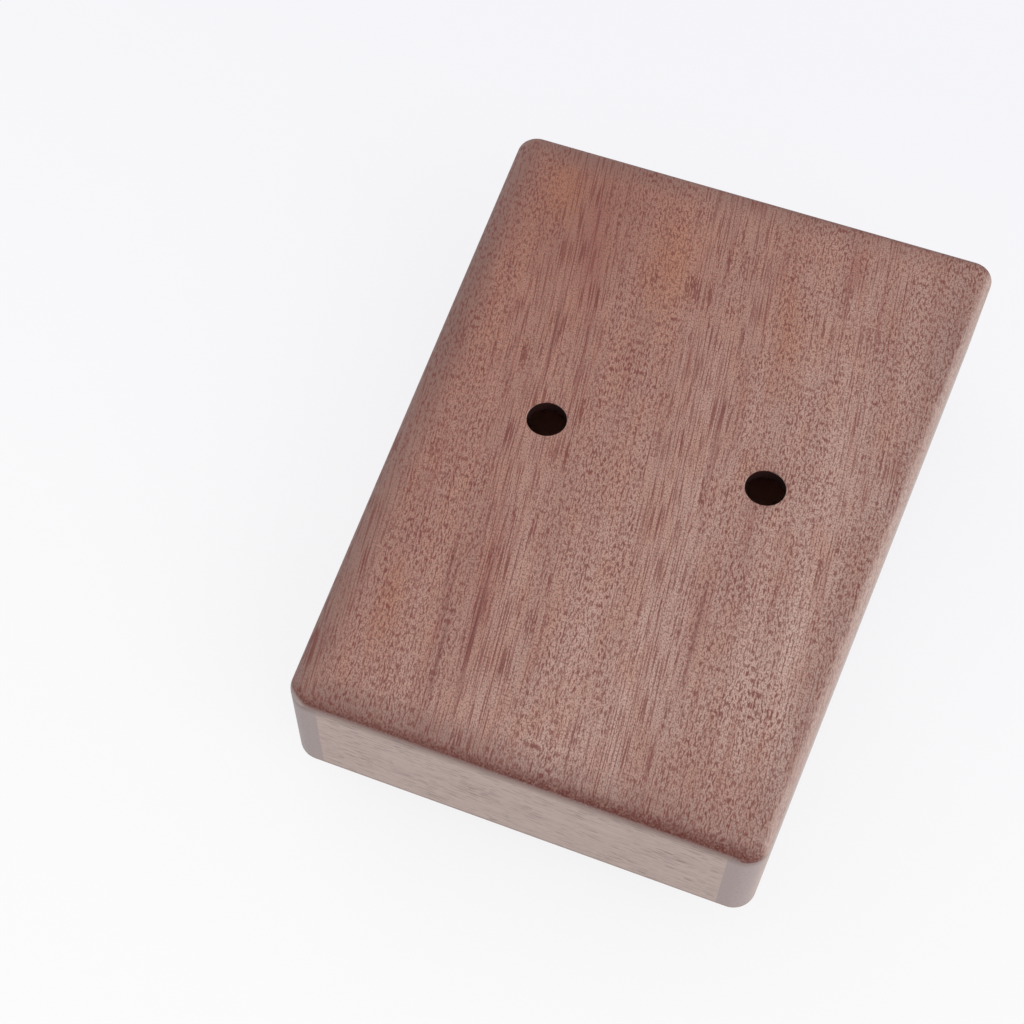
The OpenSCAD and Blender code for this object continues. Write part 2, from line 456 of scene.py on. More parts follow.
@dataclass(frozen=True)
class Patch:
    """Soft oval of another tone in a board, lying along the grain."""

    x: float
    y: float
    across: float
    along: float
    colour: str
    strength: float


@dataclass(frozen=True)
class Mahogany(Finish):
    """Mahogany board, planed, sanded and sealed with a thin satin lacquer.

    To the eye that is a pinkish-brown ground with a fine even speckle, redder on one side and painted paler
    towards the right and the tail as a sheen of the light from there, and with ribbons a few centimetres
    wide
    along the grain: in one the pores are short curly red dashes, and in the next they are thin lines. End
    grain on the rounded rim soaks up more lacquer, most on the right, and is darker. Painted shade darkens
    the margins, most on the left, away from the light. Along the right flank, which faces the light, the rim
    is painted paler as a highlight, and at the near left corner it is worn through.
    """

    outline: TaperedOutline
    patches: tuple[Patch, ...] = ()
    seed_mm: Triple = (0.0, 0.0, 0.0)
    roughness: float = 0.5
    pore_roughness: float = 0.15
    pore_depth: float = 0.04
    pore_bump: float = 0.3
    # Colours of the wood, of its pores and lines, and of its edges
    red: str = "#9C6857"
    # Painted sheen of the light, laid on towards the right and the tail
    pale: str = "#BF9F93"
    shade: str = "#8B6054"
    warm: str = "#AB7A64"
    speckle: str = "#4E352C"
    pore: str = "#64231B"
    vein: str = "#7C3228"
    # Painted shade along the edges of the board
    margin_shade: str = "#6F534C"
    rim: str = "#501302"
    # On the back a painted highlight where the rim faces the light on the right; elsewhere the rim's own
    # tone
    flank: str = "#CBBAB0"
    worn: str = "#9C8D86"
    raw: str = "#E09C88"
    # Run of the grain: its lean, how that changes across the board, and its slow wander
    lean_deg: float = 7.6
    fan_per_mm: float = -0.0008
    wander_size: float = 90.0
    wander: float = 1.3
    # Sizes of the figure in millimetres: across the grain, along it and into the board
    ribbon_period: float = 40.0
    ribbon_centre: float = -9.5
    cloud: Triple = (7.0, 34.0, 7.0)
    band: Triple = (8.0, 150.0, 8.0)
    streak: Triple = (1.2, 80.0, 1.2)
    speck: Triple = (0.3, 0.5, 0.36)
    curly_pore: Triple = (0.43, 1.5, 0.36)
    line_pore: Triple = (0.38, 12.0, 0.36)
    hair: Triple = (0.6, 44.0, 0.6)
    group: Triple = (2.6, 16.0, 2.6)
    hue: Triple = (4.0, 14.0, 4.0)
    end_pore: float = 0.5
    # Shares of the figure, by the strength of its noise or by the place across the board in millimetres
    cloud_weight: float = 5.0
    curly_right: Ramp = Ramp(30.0, 50.0)
    curly_share: Ramp = Ramp(1.2, 3.6, 0.1, 0.88)
    curl: float = 0.3
    pore_cut: Ramp = Ramp(0.49, 0.63)
    pore_tone: Ramp = Ramp(0.3, 0.7, 0.49, 0.83)
    # How the painted sheen reaches towards the tail and grows to the right
    pale_sheen_lift: float = -0.42
    pale_sheen_share: Ramp = Ramp(-75.0, 65.0)
    streak_weight: float = 0.7
    shade_share: Ramp = Ramp(0.55, 1.1, 0.5, 0.0)
    warm_share: Ramp = Ramp(0.4, 0.7, 0.0, 0.4)
    vein_share: Ramp = Ramp(0.55, 0.72, 0.0, 0.5)
    speckle_share: Ramp = Ramp(0.42, 0.72, 0.0, 0.64)
    # Shares of the edges, by the distance from the edge, the place across or how far the surface turns
    # Painted shade along the edges, deeper on the left
    margin_shade_share: Ramp = Ramp(2.0, 11.0, 0.45, 0.0)
    margin_shade_side: Ramp = Ramp(-60.0, 60.0, 1.5, 0.6)
    soak_power: Ramp = Ramp(-50.0, 15.0, 2.2, 0.74)
    soak_spots: Ramp = Ramp(0.3, 0.7, 0.6, 1.25)
    # Painted highlight on the back's right flank; on other boards the rim's own tone
    flank_and_highlight_share: Ramp = Ramp(0.1, 0.7, 0.0, 0.36)
    flank_end: float = -0.9
    left_flank: float = 0.0
    worn_towards: Triple = (-0.6, -0.8, 0.0)
    worn_share: Ramp = Ramp(0.72, 0.88, 0.0, 0.9)
    raw_side: float = 0.0
    raw_share: Ramp = Ramp(0.8, 0.9)

    def inputs(self, tree: Tree) -> dict[str, Any]:
        """Builds the wood's nodes.

        Args:
            tree: Empty node tree.

        Returns:
            Inputs of the shader.
        """
        wood = WoodTree(tree)
        wood.grain = self._grain(wood)
        pores = self._pores(wood, self._ribbons(wood))
        # Painted shade along the edges
        margin_shade = (self._margin_shade(wood), self.margin_shade)
        layers = [*self._ground(wood), margin_shade, (pores, self.pore), *self._edges(wood)]
        dull = Ramp(low=self.roughness, high=self.roughness + self.pore_roughness)
        sunk = add_node(tree, MATH, (pores, -1.0), operation="MULTIPLY")
        relief = {"Height": sunk, "Strength": self.pore_bump, "Distance": self.pore_depth * MM}
        return {
            "Base Color": self.laid_over(tree, self.red, layers), "IOR": LACQUER_IOR,
            "Roughness": add_node(tree, MAP_RANGE, dull.of(pores)),
            "Normal": add_node(tree, BUMP, relief)}

    @property
    def lean(self) -> float:
        """Slope of the grain in the middle of the board."""
        return math.tan(math.radians(self.lean_deg))

    def _grain(self, wood: WoodTree) -> Node:
        """Coordinates that follow the grain: across it, along it and into the board.

        The place across is x plus y times the grain's slope, plus a slow wander. The slope changes evenly
        across the board.

        Args:
            wood: Node tree and coordinates.

        Returns:
            A vector.
        """
        tree, place = wood.tree, wood.place
        moved = add_node(tree, VECTOR_MATH, (wood.point, self.seed_mm), operation="ADD")
        wave = add_node(tree, NOISE, {"Vector": moved, "Scale": 1 / self.wander_size, "Detail": 1.0})
        swing = Ramp(low=-self.wander, high=self.wander)
        shift = add_node(tree, MAP_RANGE, swing.of(wave), clamp=False)
        slope = add_node(tree, MATH, (place["X"], self.fan_per_mm, self.lean), operation="MULTIPLY_ADD")
        slanted = add_node(tree, MATH, (place["Y"], slope, place["X"]), operation="MULTIPLY_ADD")
        across = add_node(tree, MATH, (slanted, shift), operation="ADD")
        flowing = add_node(tree, COMBINE, (across, place["Y"], place["Z"]))
        return add_node(tree, VECTOR_MATH, (flowing, self.seed_mm), operation="ADD")

    def _ribbons(self, wood: WoodTree) -> Node:
        """Share of curly pores: a cosine across the grain, blurred by a slow noise, with more on the right.

        Args:
            wood: Node tree and coordinates.

        Returns:
            A value from 0, only lines, to 1, only curly pores.
        """
        tree = wood.tree
        turn = math.tau / self.ribbon_period
        across = add_node(tree, SEPARATE, (wood.grain,))
        angle = add_node(tree, MATH, (across, turn, -self.ribbon_centre * turn), operation="MULTIPLY_ADD")
        wave = add_node(tree, MATH, (angle,), operation="COSINE")
        cloud = add_node(tree, NOISE, {"Vector": wood.counted(self.cloud), "Scale": 1.0})
        blurred = add_node(tree, MATH, (cloud, self.cloud_weight, wave), operation="MULTIPLY_ADD")
        right = add_node(tree, MAP_RANGE, self.curly_right.of(wood.place["X"]))
        curlier = add_node(tree, MATH, (blurred, right), operation="ADD")
        return add_node(tree, MAP_RANGE, self.curly_share.of(curlier), interpolation_type="SMOOTHSTEP")

    def _pores(self, wood: WoodTree, speckled: Node) -> Node:
        """Pores: a short curly noise and one drawn out into lines, mixed, and deeper in loose groups.

        Args:
            wood: Node tree and coordinates.
            speckled: Share of curly pores.

        Returns:
            Depth of the pore colour from 0 to 1.
        """
        tree = wood.tree
        # Size, detail and distortion of each noise
        noises = ((self.curly_pore, 0.0, self.curl), (self.line_pore, 0.0, 0.0), (self.group, 1.0, 0.0))
        curly, lines, group = (
            add_node(tree, NOISE, {
                "Vector": wood.counted(size), "Scale": 1.0, "Detail": detail, "Distortion": curl})
            for size, detail, curl in noises)
        both = add_node(tree, MIX, {0: speckled, MIX_VALUE_A: lines, MIX_VALUE_B: curly})
        field = add_node(tree, MAP_RANGE, self.pore_cut.of(both))
        depth = add_node(tree, MAP_RANGE, self.pore_tone.of(group))
        return add_node(tree, MATH, (field, depth), operation="MULTIPLY")

    def _ground(self, wood: WoodTree) -> list[Layer]:
        """Wood between its pores: red, painted paler across the board as a sheen of the light, with bands,
        streaks, patches and specks; some of the patches are painted shade.

        Args:
            wood: Node tree and coordinates.

        Returns:
            Share and colour of each tone.
        """
        tree, place = wood.tree, wood.place
        # Size and detail of each noise
        noises = ((self.band, 2.0), (self.streak, 2.0), (self.hue, 1.0), (self.hair, 1.0), (self.speck, 0.0))
        band, streak, hue, hair, speck = (
            add_node(tree, NOISE, {"Vector": wood.counted(size), "Scale": 1.0, "Detail": detail})
            for size, detail in noises)
        # Painted sheen: paler towards the right and the tail, where the light falls
        toward_light = add_node(tree, MATH, (place["Y"], self.pale_sheen_lift, place["X"]), operation="MULTIPLY_ADD")
        both = add_node(tree, MATH, (streak, self.streak_weight, band), operation="MULTIPLY_ADD")
        tones = ((toward_light, self.pale_sheen_share, self.pale), (both, self.shade_share, self.shade),
                 (hue, self.warm_share, self.warm), (hair, self.vein_share, self.vein),
                 (speck, self.speckle_share, self.speckle))
        *layers, specks = (
            (add_node(tree, MAP_RANGE, ramp.of(value)), colour) for value, ramp, colour in tones)
        return [*layers, *((self._patch(wood, patch), patch.colour) for patch in self.patches), specks]

    def _patch(self, wood: WoodTree, patch: Patch) -> Node:
        """Share of a patch, which falls smoothly with the distance from its centre counted in its own size.

        Args:
            wood: Node tree and coordinates.
            patch: The patch.

        Returns:
            A value from 0 to the patch's strength.
        """
        size = (patch.across, patch.along, ENDLESS_MM)
        centre = (patch.x + patch.y * (self.lean + self.fan_per_mm * patch.x), patch.y, 0.0)
        there = tuple(c / s for c, s in zip(centre, size))
        away = add_node(wood.tree, VECTOR_MATH, (wood.counted(size), there), operation="DISTANCE")
        fading = Ramp(low=patch.strength, high=0.0).of(away.outputs["Value"])
        return add_node(wood.tree, MAP_RANGE, fading, interpolation_type="SMOOTHSTEP")

    def _margin_shade(self, wood: WoodTree) -> Node:
        """Share of the painted shade along the edges, which is deeper on the left, away from the light.

        The distance to the edge is the smaller of the taper's half width less |x| and half the length less
        |y|.

        Args:
            wood: Node tree and coordinates.

        Returns:
            A value that falls to 0 inside the board.
        """
        tree, place, shape = wood.tree, wood.place, self.outline
        half = add_node(
            tree, MATH, (place["Y"], shape.slope, shape.half_width(0.0)), operation="MULTIPLY_ADD")
        gaps = []
        for limit, axis in ((half, "X"), (shape.length / 2, "Y")):
            off_centre = add_node(tree, MATH, (place[axis],), operation="ABSOLUTE")
            gaps.append(add_node(tree, MATH, (limit, off_centre), operation="SUBTRACT"))
        gap = add_node(tree, MATH, gaps, operation="MINIMUM")
        near = add_node(tree, MAP_RANGE, self.margin_shade_share.of(gap), interpolation_type="SMOOTHSTEP")
        deeper = add_node(tree, MAP_RANGE, self.margin_shade_side.of(place["X"]))
        return add_node(tree, MATH, (near, deeper), operation="MULTIPLY")

    def _edges(self, wood: WoodTree) -> list[Layer]:
        """Edges: dark end grain on the rim, pale flanks that are a painted highlight on the back's right, a
        worn corner and a bare inner face.

        The end grain's share is how far the surface faces an end, to a power that falls from left to right.

        Args:
            wood: Node tree and coordinates.

        Returns:
            Share and colour of each.
        """
        tree, normal = wood.tree, wood.normal
        endways = add_node(tree, MATH, (normal["Y"],), operation="ABSOLUTE")
        power = add_node(tree, MAP_RANGE, self.soak_power.of(wood.place["X"]))
        soaked = add_node(tree, MATH, (endways, power), operation="POWER")
        spots = add_node(tree, NOISE, {"Vector": wood.point, "Scale": 1 / self.end_pore, "Detail": 1.0})
        spots = add_node(tree, MAP_RANGE, self.soak_spots.of(spots))
        end_grain = add_node(tree, MATH, (soaked, spots), operation="MULTIPLY")
        # Pale flank: on the back a painted highlight where the rim faces the light on the right
        left = add_node(tree, MATH, (normal["X"], -self.left_flank), operation="MULTIPLY")
        sideways = add_node(tree, MATH, (normal["X"], left), operation="MAXIMUM")
        aside = add_node(tree, MATH, (endways, self.flank_end, sideways), operation="MULTIPLY_ADD")
        flank = add_node(tree, MAP_RANGE, self.flank_and_highlight_share.of(aside), interpolation_type="SMOOTHSTEP")
        corner = add_node(tree, VECTOR_MATH, (wood.facing, self.worn_towards), operation="DOT_PRODUCT")
        worn = add_node(tree, MAP_RANGE, self.worn_share.of(corner.outputs["Value"]))
        inward = add_node(tree, MATH, (normal["Z"], self.raw_side), operation="MULTIPLY")
        raw = add_node(tree, MAP_RANGE, self.raw_share.of(inward))
        return [(end_grain, self.rim), (flank, self.flank), (worn, self.worn), (raw, self.raw)]


@dataclass(frozen=True)
class ShadedHoleWall(Finish):
    """Wall of a hole, painted as the shade inside the hole.

    To the eye that is open end grain, painted almost black for that shade, and too rough to shine.
    """

    # Almost black: painted shade of the hole
    colour: str = "#241210"
    roughness: float = 0.9
    shine: float = 0.1

    def inputs(self, tree: Tree) -> dict[str, Any]:
        """Inputs of the shader: one even colour and little shine."""
        return {"Base Color": linear(self.colour), "Roughness": self.roughness,
                "Specular IOR Level": self.shine}


@dataclass(frozen=True)
class RailWood(Finish):
    """Pale hardwood rail, sawn straight along its grain, sanded and sealed with the same satin lacquer.

    To the eye that is a greyish-beige ground with sparse dark dashes along the rail, a smooth greyer tone
    where its end grain shows, and a soft dark line at its joint with the back: lacquer collected in the glue
    line, with painted shade under the back's rounded rim.
    """

    axis: GrainAxis
    joint_z: float
    roughness: float = 0.42
    light: str = "#A59087"
    dark: str = "#9B867E"
    pore: str = "#46362F"
    end: str = "#8D7D7A"
    # Glue line at the joint with the back, darkened further as painted shade under the back's rim
    joint: str = "#5A3A30"
    # Sizes of the figure in millimetres, across the grain and along it where it is drawn out
    dash: tuple[float, float] = (0.2, 2.6)
    band: tuple[float, float] = (1.1, 12.0)
    group: float = 9.0
    end_pore: float = 0.5
    # Shares, by the strength of the noise, how far the surface turns or the depth under the joint
    group_weight: float = 0.4
    light_share: Ramp = Ramp(0.3, 0.7)
    pore_share: Ramp = Ramp(0.84, 0.92, 0.0, 0.52)
    dot_share: Ramp = Ramp(0.5, 0.75, 0.0, 0.22)
    end_share: Ramp = Ramp(0.25, 0.85)
    joint_and_shade_share: Ramp = Ramp(0.0, 3.0, 0.58, 0.0)

    def inputs(self, tree: Tree) -> dict[str, Any]:
        """Builds the wood's nodes.

        Args:
            tree: Empty node tree.

        Returns:
            Inputs of the shader.
        """
        wood = WoodTree(tree)
        # Size and detail of each noise
        noises = ((self.axis.drawn_out(*self.dash), 0.0), (self.axis.drawn_out(*self.band), 2.0),
                  ((self.group,) * 3, 1.0), ((self.end_pore,) * 3, 1.0))
        dashes, tone, group, dots = (
            add_node(tree, NOISE, {"Vector": wood.counted(size), "Scale": 1.0, "Detail": detail})
            for size, detail in noises)
        grouped = add_node(tree, MATH, (group, self.group_weight, dashes), operation="MULTIPLY_ADD")
        endways = add_node(tree, MATH, (wood.normal[self.axis.value],), operation="ABSOLUTE")
        below = add_node(tree, MATH, (self.joint_z, wood.place["Z"]), operation="SUBTRACT")
        light = add_node(tree, MAP_RANGE, self.light_share.of(tone))
        pores = add_node(tree, MAP_RANGE, self.pore_share.of(grouped))
        dots = add_node(tree, MAP_RANGE, self.dot_share.of(dots))
        cut = add_node(tree, MAP_RANGE, self.end_share.of(endways), interpolation_type="SMOOTHSTEP")
        # Dark line under the joint: glue line and painted shade
        joint_and_shade = add_node(tree, MAP_RANGE, self.joint_and_shade_share.of(below), interpolation_type="SMOOTHSTEP")
        end = self.laid_over(tree, self.end, [(dots, self.pore)])
        layers = [(light, self.light), (pores, self.pore), (cut, end), (joint_and_shade, self.joint)]
        return {
            "Base Color": self.laid_over(tree, self.dark, layers), "IOR": LACQUER_IOR,
            "Roughness": self.roughness}


@dataclass(frozen=True)
class Metal(Finish):
    """Bare or plated metal with fine brush marks along one direction.

    To the eye that is a soft sheen that is drawn out across the marks. They are drawn coarser than real ones
    so that they show.
    """

    colour: str
    roughness: float
    axis: GrainAxis
    spread: float = 0.12
    # Width, length and depth of a mark in millimetres
    mark: tuple[float, float] = (0.12, 14.0)
    mark_depth: float = 0.01
    mark_bump: float = 0.15

    def inputs(self, tree: Tree) -> dict[str, Any]:
        """Builds the metal's nodes.

        Args:
            tree: Empty node tree.

        Returns:
            Inputs of the shader.
        """
        source = add_node(tree, COORDINATES)
        sizes = tuple(size * MM for size in self.axis.drawn_out(*self.mark))
        place = add_node(tree, VECTOR_MATH, (source.outputs["Object"], sizes), operation="DIVIDE")
        marks = add_node(tree, NOISE, {"Vector": place, "Scale": 1.0, "Detail": 2.0})
        dull = Ramp(low=self.roughness - self.spread, high=self.roughness + self.spread)
        relief = {"Height": marks, "Strength": self.mark_bump, "Distance": self.mark_depth * MM}
        return {
            "Base Color": linear(self.colour), "Metallic": 1.0,
            "Roughness": add_node(tree, MAP_RANGE, dull.of(marks)),
            "Normal": add_node(tree, BUMP, relief)}


@dataclass(frozen=True)
class Hole:
    """Round hole through a plate, with its edge broken on the outer face."""

    centre: tuple[float, float]
    radius: float
    edge: float


@dataclass
class Plate:
    """Thin board of the body's plan with a rounded rim on its outer face and round holes through it."""

    outline: TaperedOutline
    inner_z: float
    outer_z: float
    rim_radius: float = 3.0
    rim_steps: int = 12
    edge_steps: int = 4
    radial: tuple[float, ...] = (0.06, 0.2, 0.45, 0.72, 0.995, 1.0)

    @property
    def outward(self) -> float:
        """Sign of the direction from the inner face to the outer one."""
        return math.copysign(1.0, self.outer_z - self.inner_z)

    def face(self, hole: Hole, outer_loop: Array, inner_loop: Array) -> Surface:
        """Both faces of the board around one hole, and the wall of the hole, as one grid.

        Each row belongs to one direction from the hole's centre. It runs from the rim of the inner face in
        to the hole, up the wall, round the broken edge on a quarter circle and out over the outer face.

        Args:
            hole: The hole.
            outer_loop: Plan of the outer face, where the rounded rim starts.
            inner_loop: Plan of the inner face, with as many points.

        Returns:
            The patch, open at both loops.
        """
        def ring(plan: Array, radius: float) -> Array:
            """Points round the hole in the directions of a plan's points."""
            away = plan - np.array(hole.centre)
            return hole.centre + radius * away / np.linalg.norm(away, axis=1, keepdims=True)

        rows = [at_height(inner_loop, self.inner_z), at_height(ring(inner_loop, hole.radius), self.inner_z)]
        for angle in np.linspace(0, math.pi / 2, self.edge_steps + 1):
            radius = hole.radius + hole.edge * (1 - math.cos(angle))
            depth = hole.edge * (1 - math.sin(angle))
            rows.append(at_height(ring(outer_loop, radius), self.outer_z - self.outward * depth))
        start = ring(outer_loop, hole.radius + hole.edge)
        rows += [at_height(start + share * (outer_loop - start), self.outer_z) for share in self.radial]
        return Surface.from_grid(np.stack(rows, axis=1), wrap_rows=True)

    def rim(self) -> Surface:
        """Rounded rim: a quarter circle carried round the outline.

        Returns:
            The patch between the outer face and the inner one.
        """
        angles = np.linspace(0, math.pi / 2, self.rim_steps + 1)
        insets = self.rim_radius * (1 - np.sin(angles))
        heights = self.outer_z - self.outward * self.rim_radius * (1 - np.cos(angles))
        rows = [at_height(self.outline.loop(inset), z) for inset, z in zip(insets, heights)]
        rows.append(at_height(self.outline.loop(0.0), self.inner_z))
        return Surface.from_grid(np.stack(rows), wrap_columns=True)


# Figure of the back where it stands out, with painted shade: darker corners and edges, tan patches, red
# streaks and dark lines. The head-left corner and the left edge are darkened as painted shade, away from the
# light.
TAN = "#A66B4C"
RED_STREAK = "#8A4B40"
DARK_LINE = "#6A2F2B"
BACK_FIGURE_AND_SHADE = (
    # Painted shade at the head-left corner, away from the light
    Patch(-46.0, 78.0, 34.0, 44.0, "#7E4A3C", 0.38),
    Patch(42.0, -88.0, 44.0, 34.0, "#8E6458", 0.45),
    # Painted shade along the left edge, away from the light
    Patch(-65.0, 42.0, 9.0, 66.0, "#4E2C23", 0.42),
    Patch(60.0, 62.0, 16.0, 46.0, "#7C605C", 0.22),
    Patch(-13.0, 60.0, 11.0, 30.0, TAN, 0.55),
    Patch(-49.0, 74.0, 8.0, 16.0, TAN, 0.5),
    Patch(21.0, 48.0, 6.0, 24.0, TAN, 0.4),
    Patch(-43.0, -62.0, 6.0, 20.0, TAN, 0.35),
    Patch(33.0, 76.0, 3.5, 14.0, RED_STREAK, 0.45),
    Patch(-34.0, 56.0, 6.0, 34.0, RED_STREAK, 0.5),
    Patch(-24.0, -50.0, 7.0, 38.0, RED_STREAK, 0.3),
    Patch(25.0, -40.0, 4.0, 30.0, RED_STREAK, 0.3),
    Patch(-22.5, -60.0, 0.99, 28.0, DARK_LINE, 0.9),
    Patch(-27.5, -70.0, 0.81, 18.0, DARK_LINE, 0.75),
    Patch(-34.0, -46.0, 0.81, 14.0, DARK_LINE, 0.7),
    Patch(-31.5, -52.0, 0.63, 22.0, DARK_LINE, 0.55),
    Patch(-35.0, 28.0, 0.9, 22.0, DARK_LINE, 0.75),
    Patch(-7.8, 82.0, 0.72, 12.0, DARK_LINE, 0.7),
    Patch(-11.5, 78.0, 0.63, 14.0, DARK_LINE, 0.55),
    Patch(14.0, 10.0, 0.72, 24.0, DARK_LINE, 0.55),
    Patch(25.5, -40.0, 0.81, 20.0, DARK_LINE, 0.6),
)


@dataclass
class SoundBox:
    """Glued box: the back with its finger holes, the soundboard with its sound hole, and the rails."""

    outline: TaperedOutline
    rail_thickness: float = 7.6
    glue: float = 0.05
    finger_hole_radius: float = 5.05
    finger_hole_spacing: float = 56.6
    finger_hole_shift: float = 1.1
    finger_hole_y: float = 1.3
    finger_hole_edge: float = 0.2
    sound_hole_radius: float = 17.0
    sound_hole_from_tail: float = 50.0
    sound_hole_edge: float = 0.4
    # Colour of the front's rim, which is finished like the rails, and the place of its figure in the log
    front_rim: str = "#8F7D74"
    front_rim_share: Ramp = Ramp(0.1, 0.7, 0.0, 0.95)
    front_seed_mm: Triple = (310.0, 170.0, 40.0)
    # Walls of the holes, painted almost black as their shade
    hole_shade_finish: ShadedHoleWall = ShadedHoleWall("hole_wall_painted_shade")

    def build(self) -> None:
        """Builds and dresses every piece of the box."""
        hole_shade = self.hole_shade_finish.material()
        self._back(hole_shade)
        self._soundboard(hole_shade)
        joint_z = box_mm("back_plate")[0][2]
        rail = RailWood("lacquered_side_rail_wood", GrainAxis.ALONG, joint_z).material()
        for side in Side:
            self._side_rail(side, rail)
        end = RailWood("lacquered_end_rail_wood", GrainAxis.ACROSS, joint_z).material()
        for node in ("head_end_rail", "tail_end_rail", "bridge_block"):
            dress(frame["nodes"][node], end)

    @staticmethod
    def _place(piece: Object, node: str, slot: str, material: Material) -> None:
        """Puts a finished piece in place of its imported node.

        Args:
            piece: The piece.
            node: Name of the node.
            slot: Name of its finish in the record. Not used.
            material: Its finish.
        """
        dress(piece, material)
        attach(piece, "root")
        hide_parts(node)

    @staticmethod
    def _line_holes(piece: Object, holes: list[Hole], material: Material) -> None:
        """Gives the walls of a plate's holes their own finish.

        Args:
            piece: The plate, already dressed.
            holes: Its holes, whose walls are the steep faces within their radius.
            material: Finish of the walls.
        """
        faces = piece.data.polygons
        centres, normals = np.empty(3 * len(faces)), np.empty(3 * len(faces))
        faces.foreach_get("center", centres)
        faces.foreach_get("normal", normals)
        plan = centres.reshape(-1, 3)[:, None, :2] / MM - np.array([hole.centre for hole in holes])
        within = (np.linalg.norm(plan, axis=2) < [hole.radius for hole in holes]).any(axis=1)
        steep = np.abs(normals.reshape(-1, 3)[:, 2]) < math.cos(math.radians(WALL_DEG))
        piece.data.materials.append(material)
        faces.foreach_set("material_index", (within & steep).astype(np.int32))

    def _back(self, hole_shade: Material) -> None:
        """Back: two half plans, each a grid around its own finger hole, joined along the middle line.

        Args:
            hole_shade: Finish of the holes' walls.
        """
        low, high = box_mm("back_plate")
        plate = Plate(self.outline, low[2], high[2])
        halves, holes = [], []
        for side in Side:
            x = self.finger_hole_shift + side.value * self.finger_hole_spacing / 2
            hole = Hole((x, self.finger_hole_y), self.finger_hole_radius, self.finger_hole_edge)
            holes.append(hole)
            outer = self.outline.half_loop(side, plate.rim_radius)
            halves.append(plate.face(hole, outer, self.outline.half_loop(side, 0.0)))
        piece = plate.rim().piece("back", *halves)
        # The face cuts the pattern of the pores where its cells meet, so that they are at their finest
        depth = -high[2] % Mahogany.curly_pore[2]
        finish = Mahogany("sanded_mahogany_back", self.outline, BACK_FIGURE_AND_SHADE, (0.0, 0.0, depth))
        self._place(piece, "back_plate", "back_wood", finish.material())
        self._line_holes(piece, holes, hole_shade)

    def _soundboard(self, hole_shade: Material) -> None:
        """Soundboard: one grid around the sound hole.

        Args:
            hole_shade: Finish of the hole's wall.
        """
        low, high = box_mm("soundboard")
        plate = Plate(self.outline, high[2], low[2])
        centre = (0.0, self.sound_hole_from_tail - self.outline.length / 2)
        hole = Hole(centre, self.sound_hole_radius, self.sound_hole_edge)
        face = plate.face(hole, self.outline.loop(plate.rim_radius), self.outline.loop(0.0))
        piece = plate.rim().piece("front_board", face)
        finish = Mahogany(
            "sanded_mahogany_soundboard", self.outline, seed_mm=self.front_seed_mm, lean_deg=0.0,
            raw_side=1.0, rim=self.front_rim, flank=self.front_rim, worn=self.front_rim,
            flank_and_highlight_share=self.front_rim_share, left_flank=1.0)
        self._place(piece, "soundboard", "board_wood", finish.material())
        self._line_holes(piece, [hole], hole_shade)

    def _side_rail(self, side: Side, material: Material) -> None:
        """Side rail: a rectangle carried along the body, from the outline in to the parallel inner line.

        It takes in the glue that fills its joints with the end rails.

        Args:
            side: Which side it is on.
            material: Its finish.
        """
        name = side.name.lower()
        low, high = box_mm(f"{name}_side_rail")
        half = self.outline.length / 2
        across = self.rail_thickness / math.cos(self.outline.flank) + self.glue
        inner_x = self.outline.half_width(np.array([-half, half])) - across
        outer = self.outline.right_side(0.0)[self.outline.end_steps:-self.outline.end_steps]
        ends = np.array([[inner_x[0], -half], [inner_x[1], half]])
        outer = np.concatenate([ends[:1], outer, ends[1:]])
        share = (outer[:, 1:] + half) / self.outline.length
        inner = ends[0] + share * (ends[1] - ends[0])
        ring = [(outer, low[2]), (outer, high[2]), (inner, high[2]), (inner, low[2])]
        section = [at_height(plan * [side.value, 1], z) for plan, z in ring]
        piece = Surface.from_grid(np.stack(section, axis=1), wrap_columns=True).piece(f"{name}_rail")
        self._place(piece, f"{name}_side_rail", "rail_wood", material)


@dataclass
class Bridge:
    """Bridge as the frame has it: hardwood base, two rods, the bar that clamps the tines and its screws."""

    outline: TaperedOutline
    # Oiled rosewood is a dark chocolate brown with almost black pores and veins
    # Also laid on as a painted sheen towards the right and the tail
    base_light: str = "#64402F"
    base_brown: str = "#5A3526"
    # Also laid along the edges as painted shade
    base_dark: str = "#3A2119"
    base_pore: str = "#22130E"
    base_edge: str = "#33201A"
    base_roughness: float = 0.4
    base_seed_mm: Triple = (90.0, 420.0, 10.0)
    rods: Metal = Metal("drawn_brass_rods", "#C0A468", 0.28, GrainAxis.ACROSS)
    bar: Metal = Metal("nickelled_steel_bar", "#B9BCC0", 0.22, GrainAxis.ACROSS)
    screws: Metal = Metal("turned_steel_screws", "#8E9196", 0.32, GrainAxis.ALONG)

    def build(self) -> None:
        """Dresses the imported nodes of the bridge."""
        rosewood = Mahogany(
            "oiled_rosewood_base", self.outline, seed_mm=self.base_seed_mm, roughness=self.base_roughness,
            lean_deg=0.0, left_flank=1.0, red=self.base_brown, warm=self.base_brown, pale=self.base_light,
            shade=self.base_dark, margin_shade=self.base_dark, vein=self.base_dark, pore=self.base_pore,
            speckle=self.base_pore, rim=self.base_edge, flank=self.base_edge, worn=self.base_edge)
        rod = self.rods.material()
        finishes = {
            "bridge_base": rosewood.material(), "front_bridge_rod": rod, "rear_bridge_rod": rod,
            "pressure_bar": self.bar.material(), "bridge_screws": self.screws.material()}
        for node, material in finishes.items():
            dress(frame["nodes"][node], material)


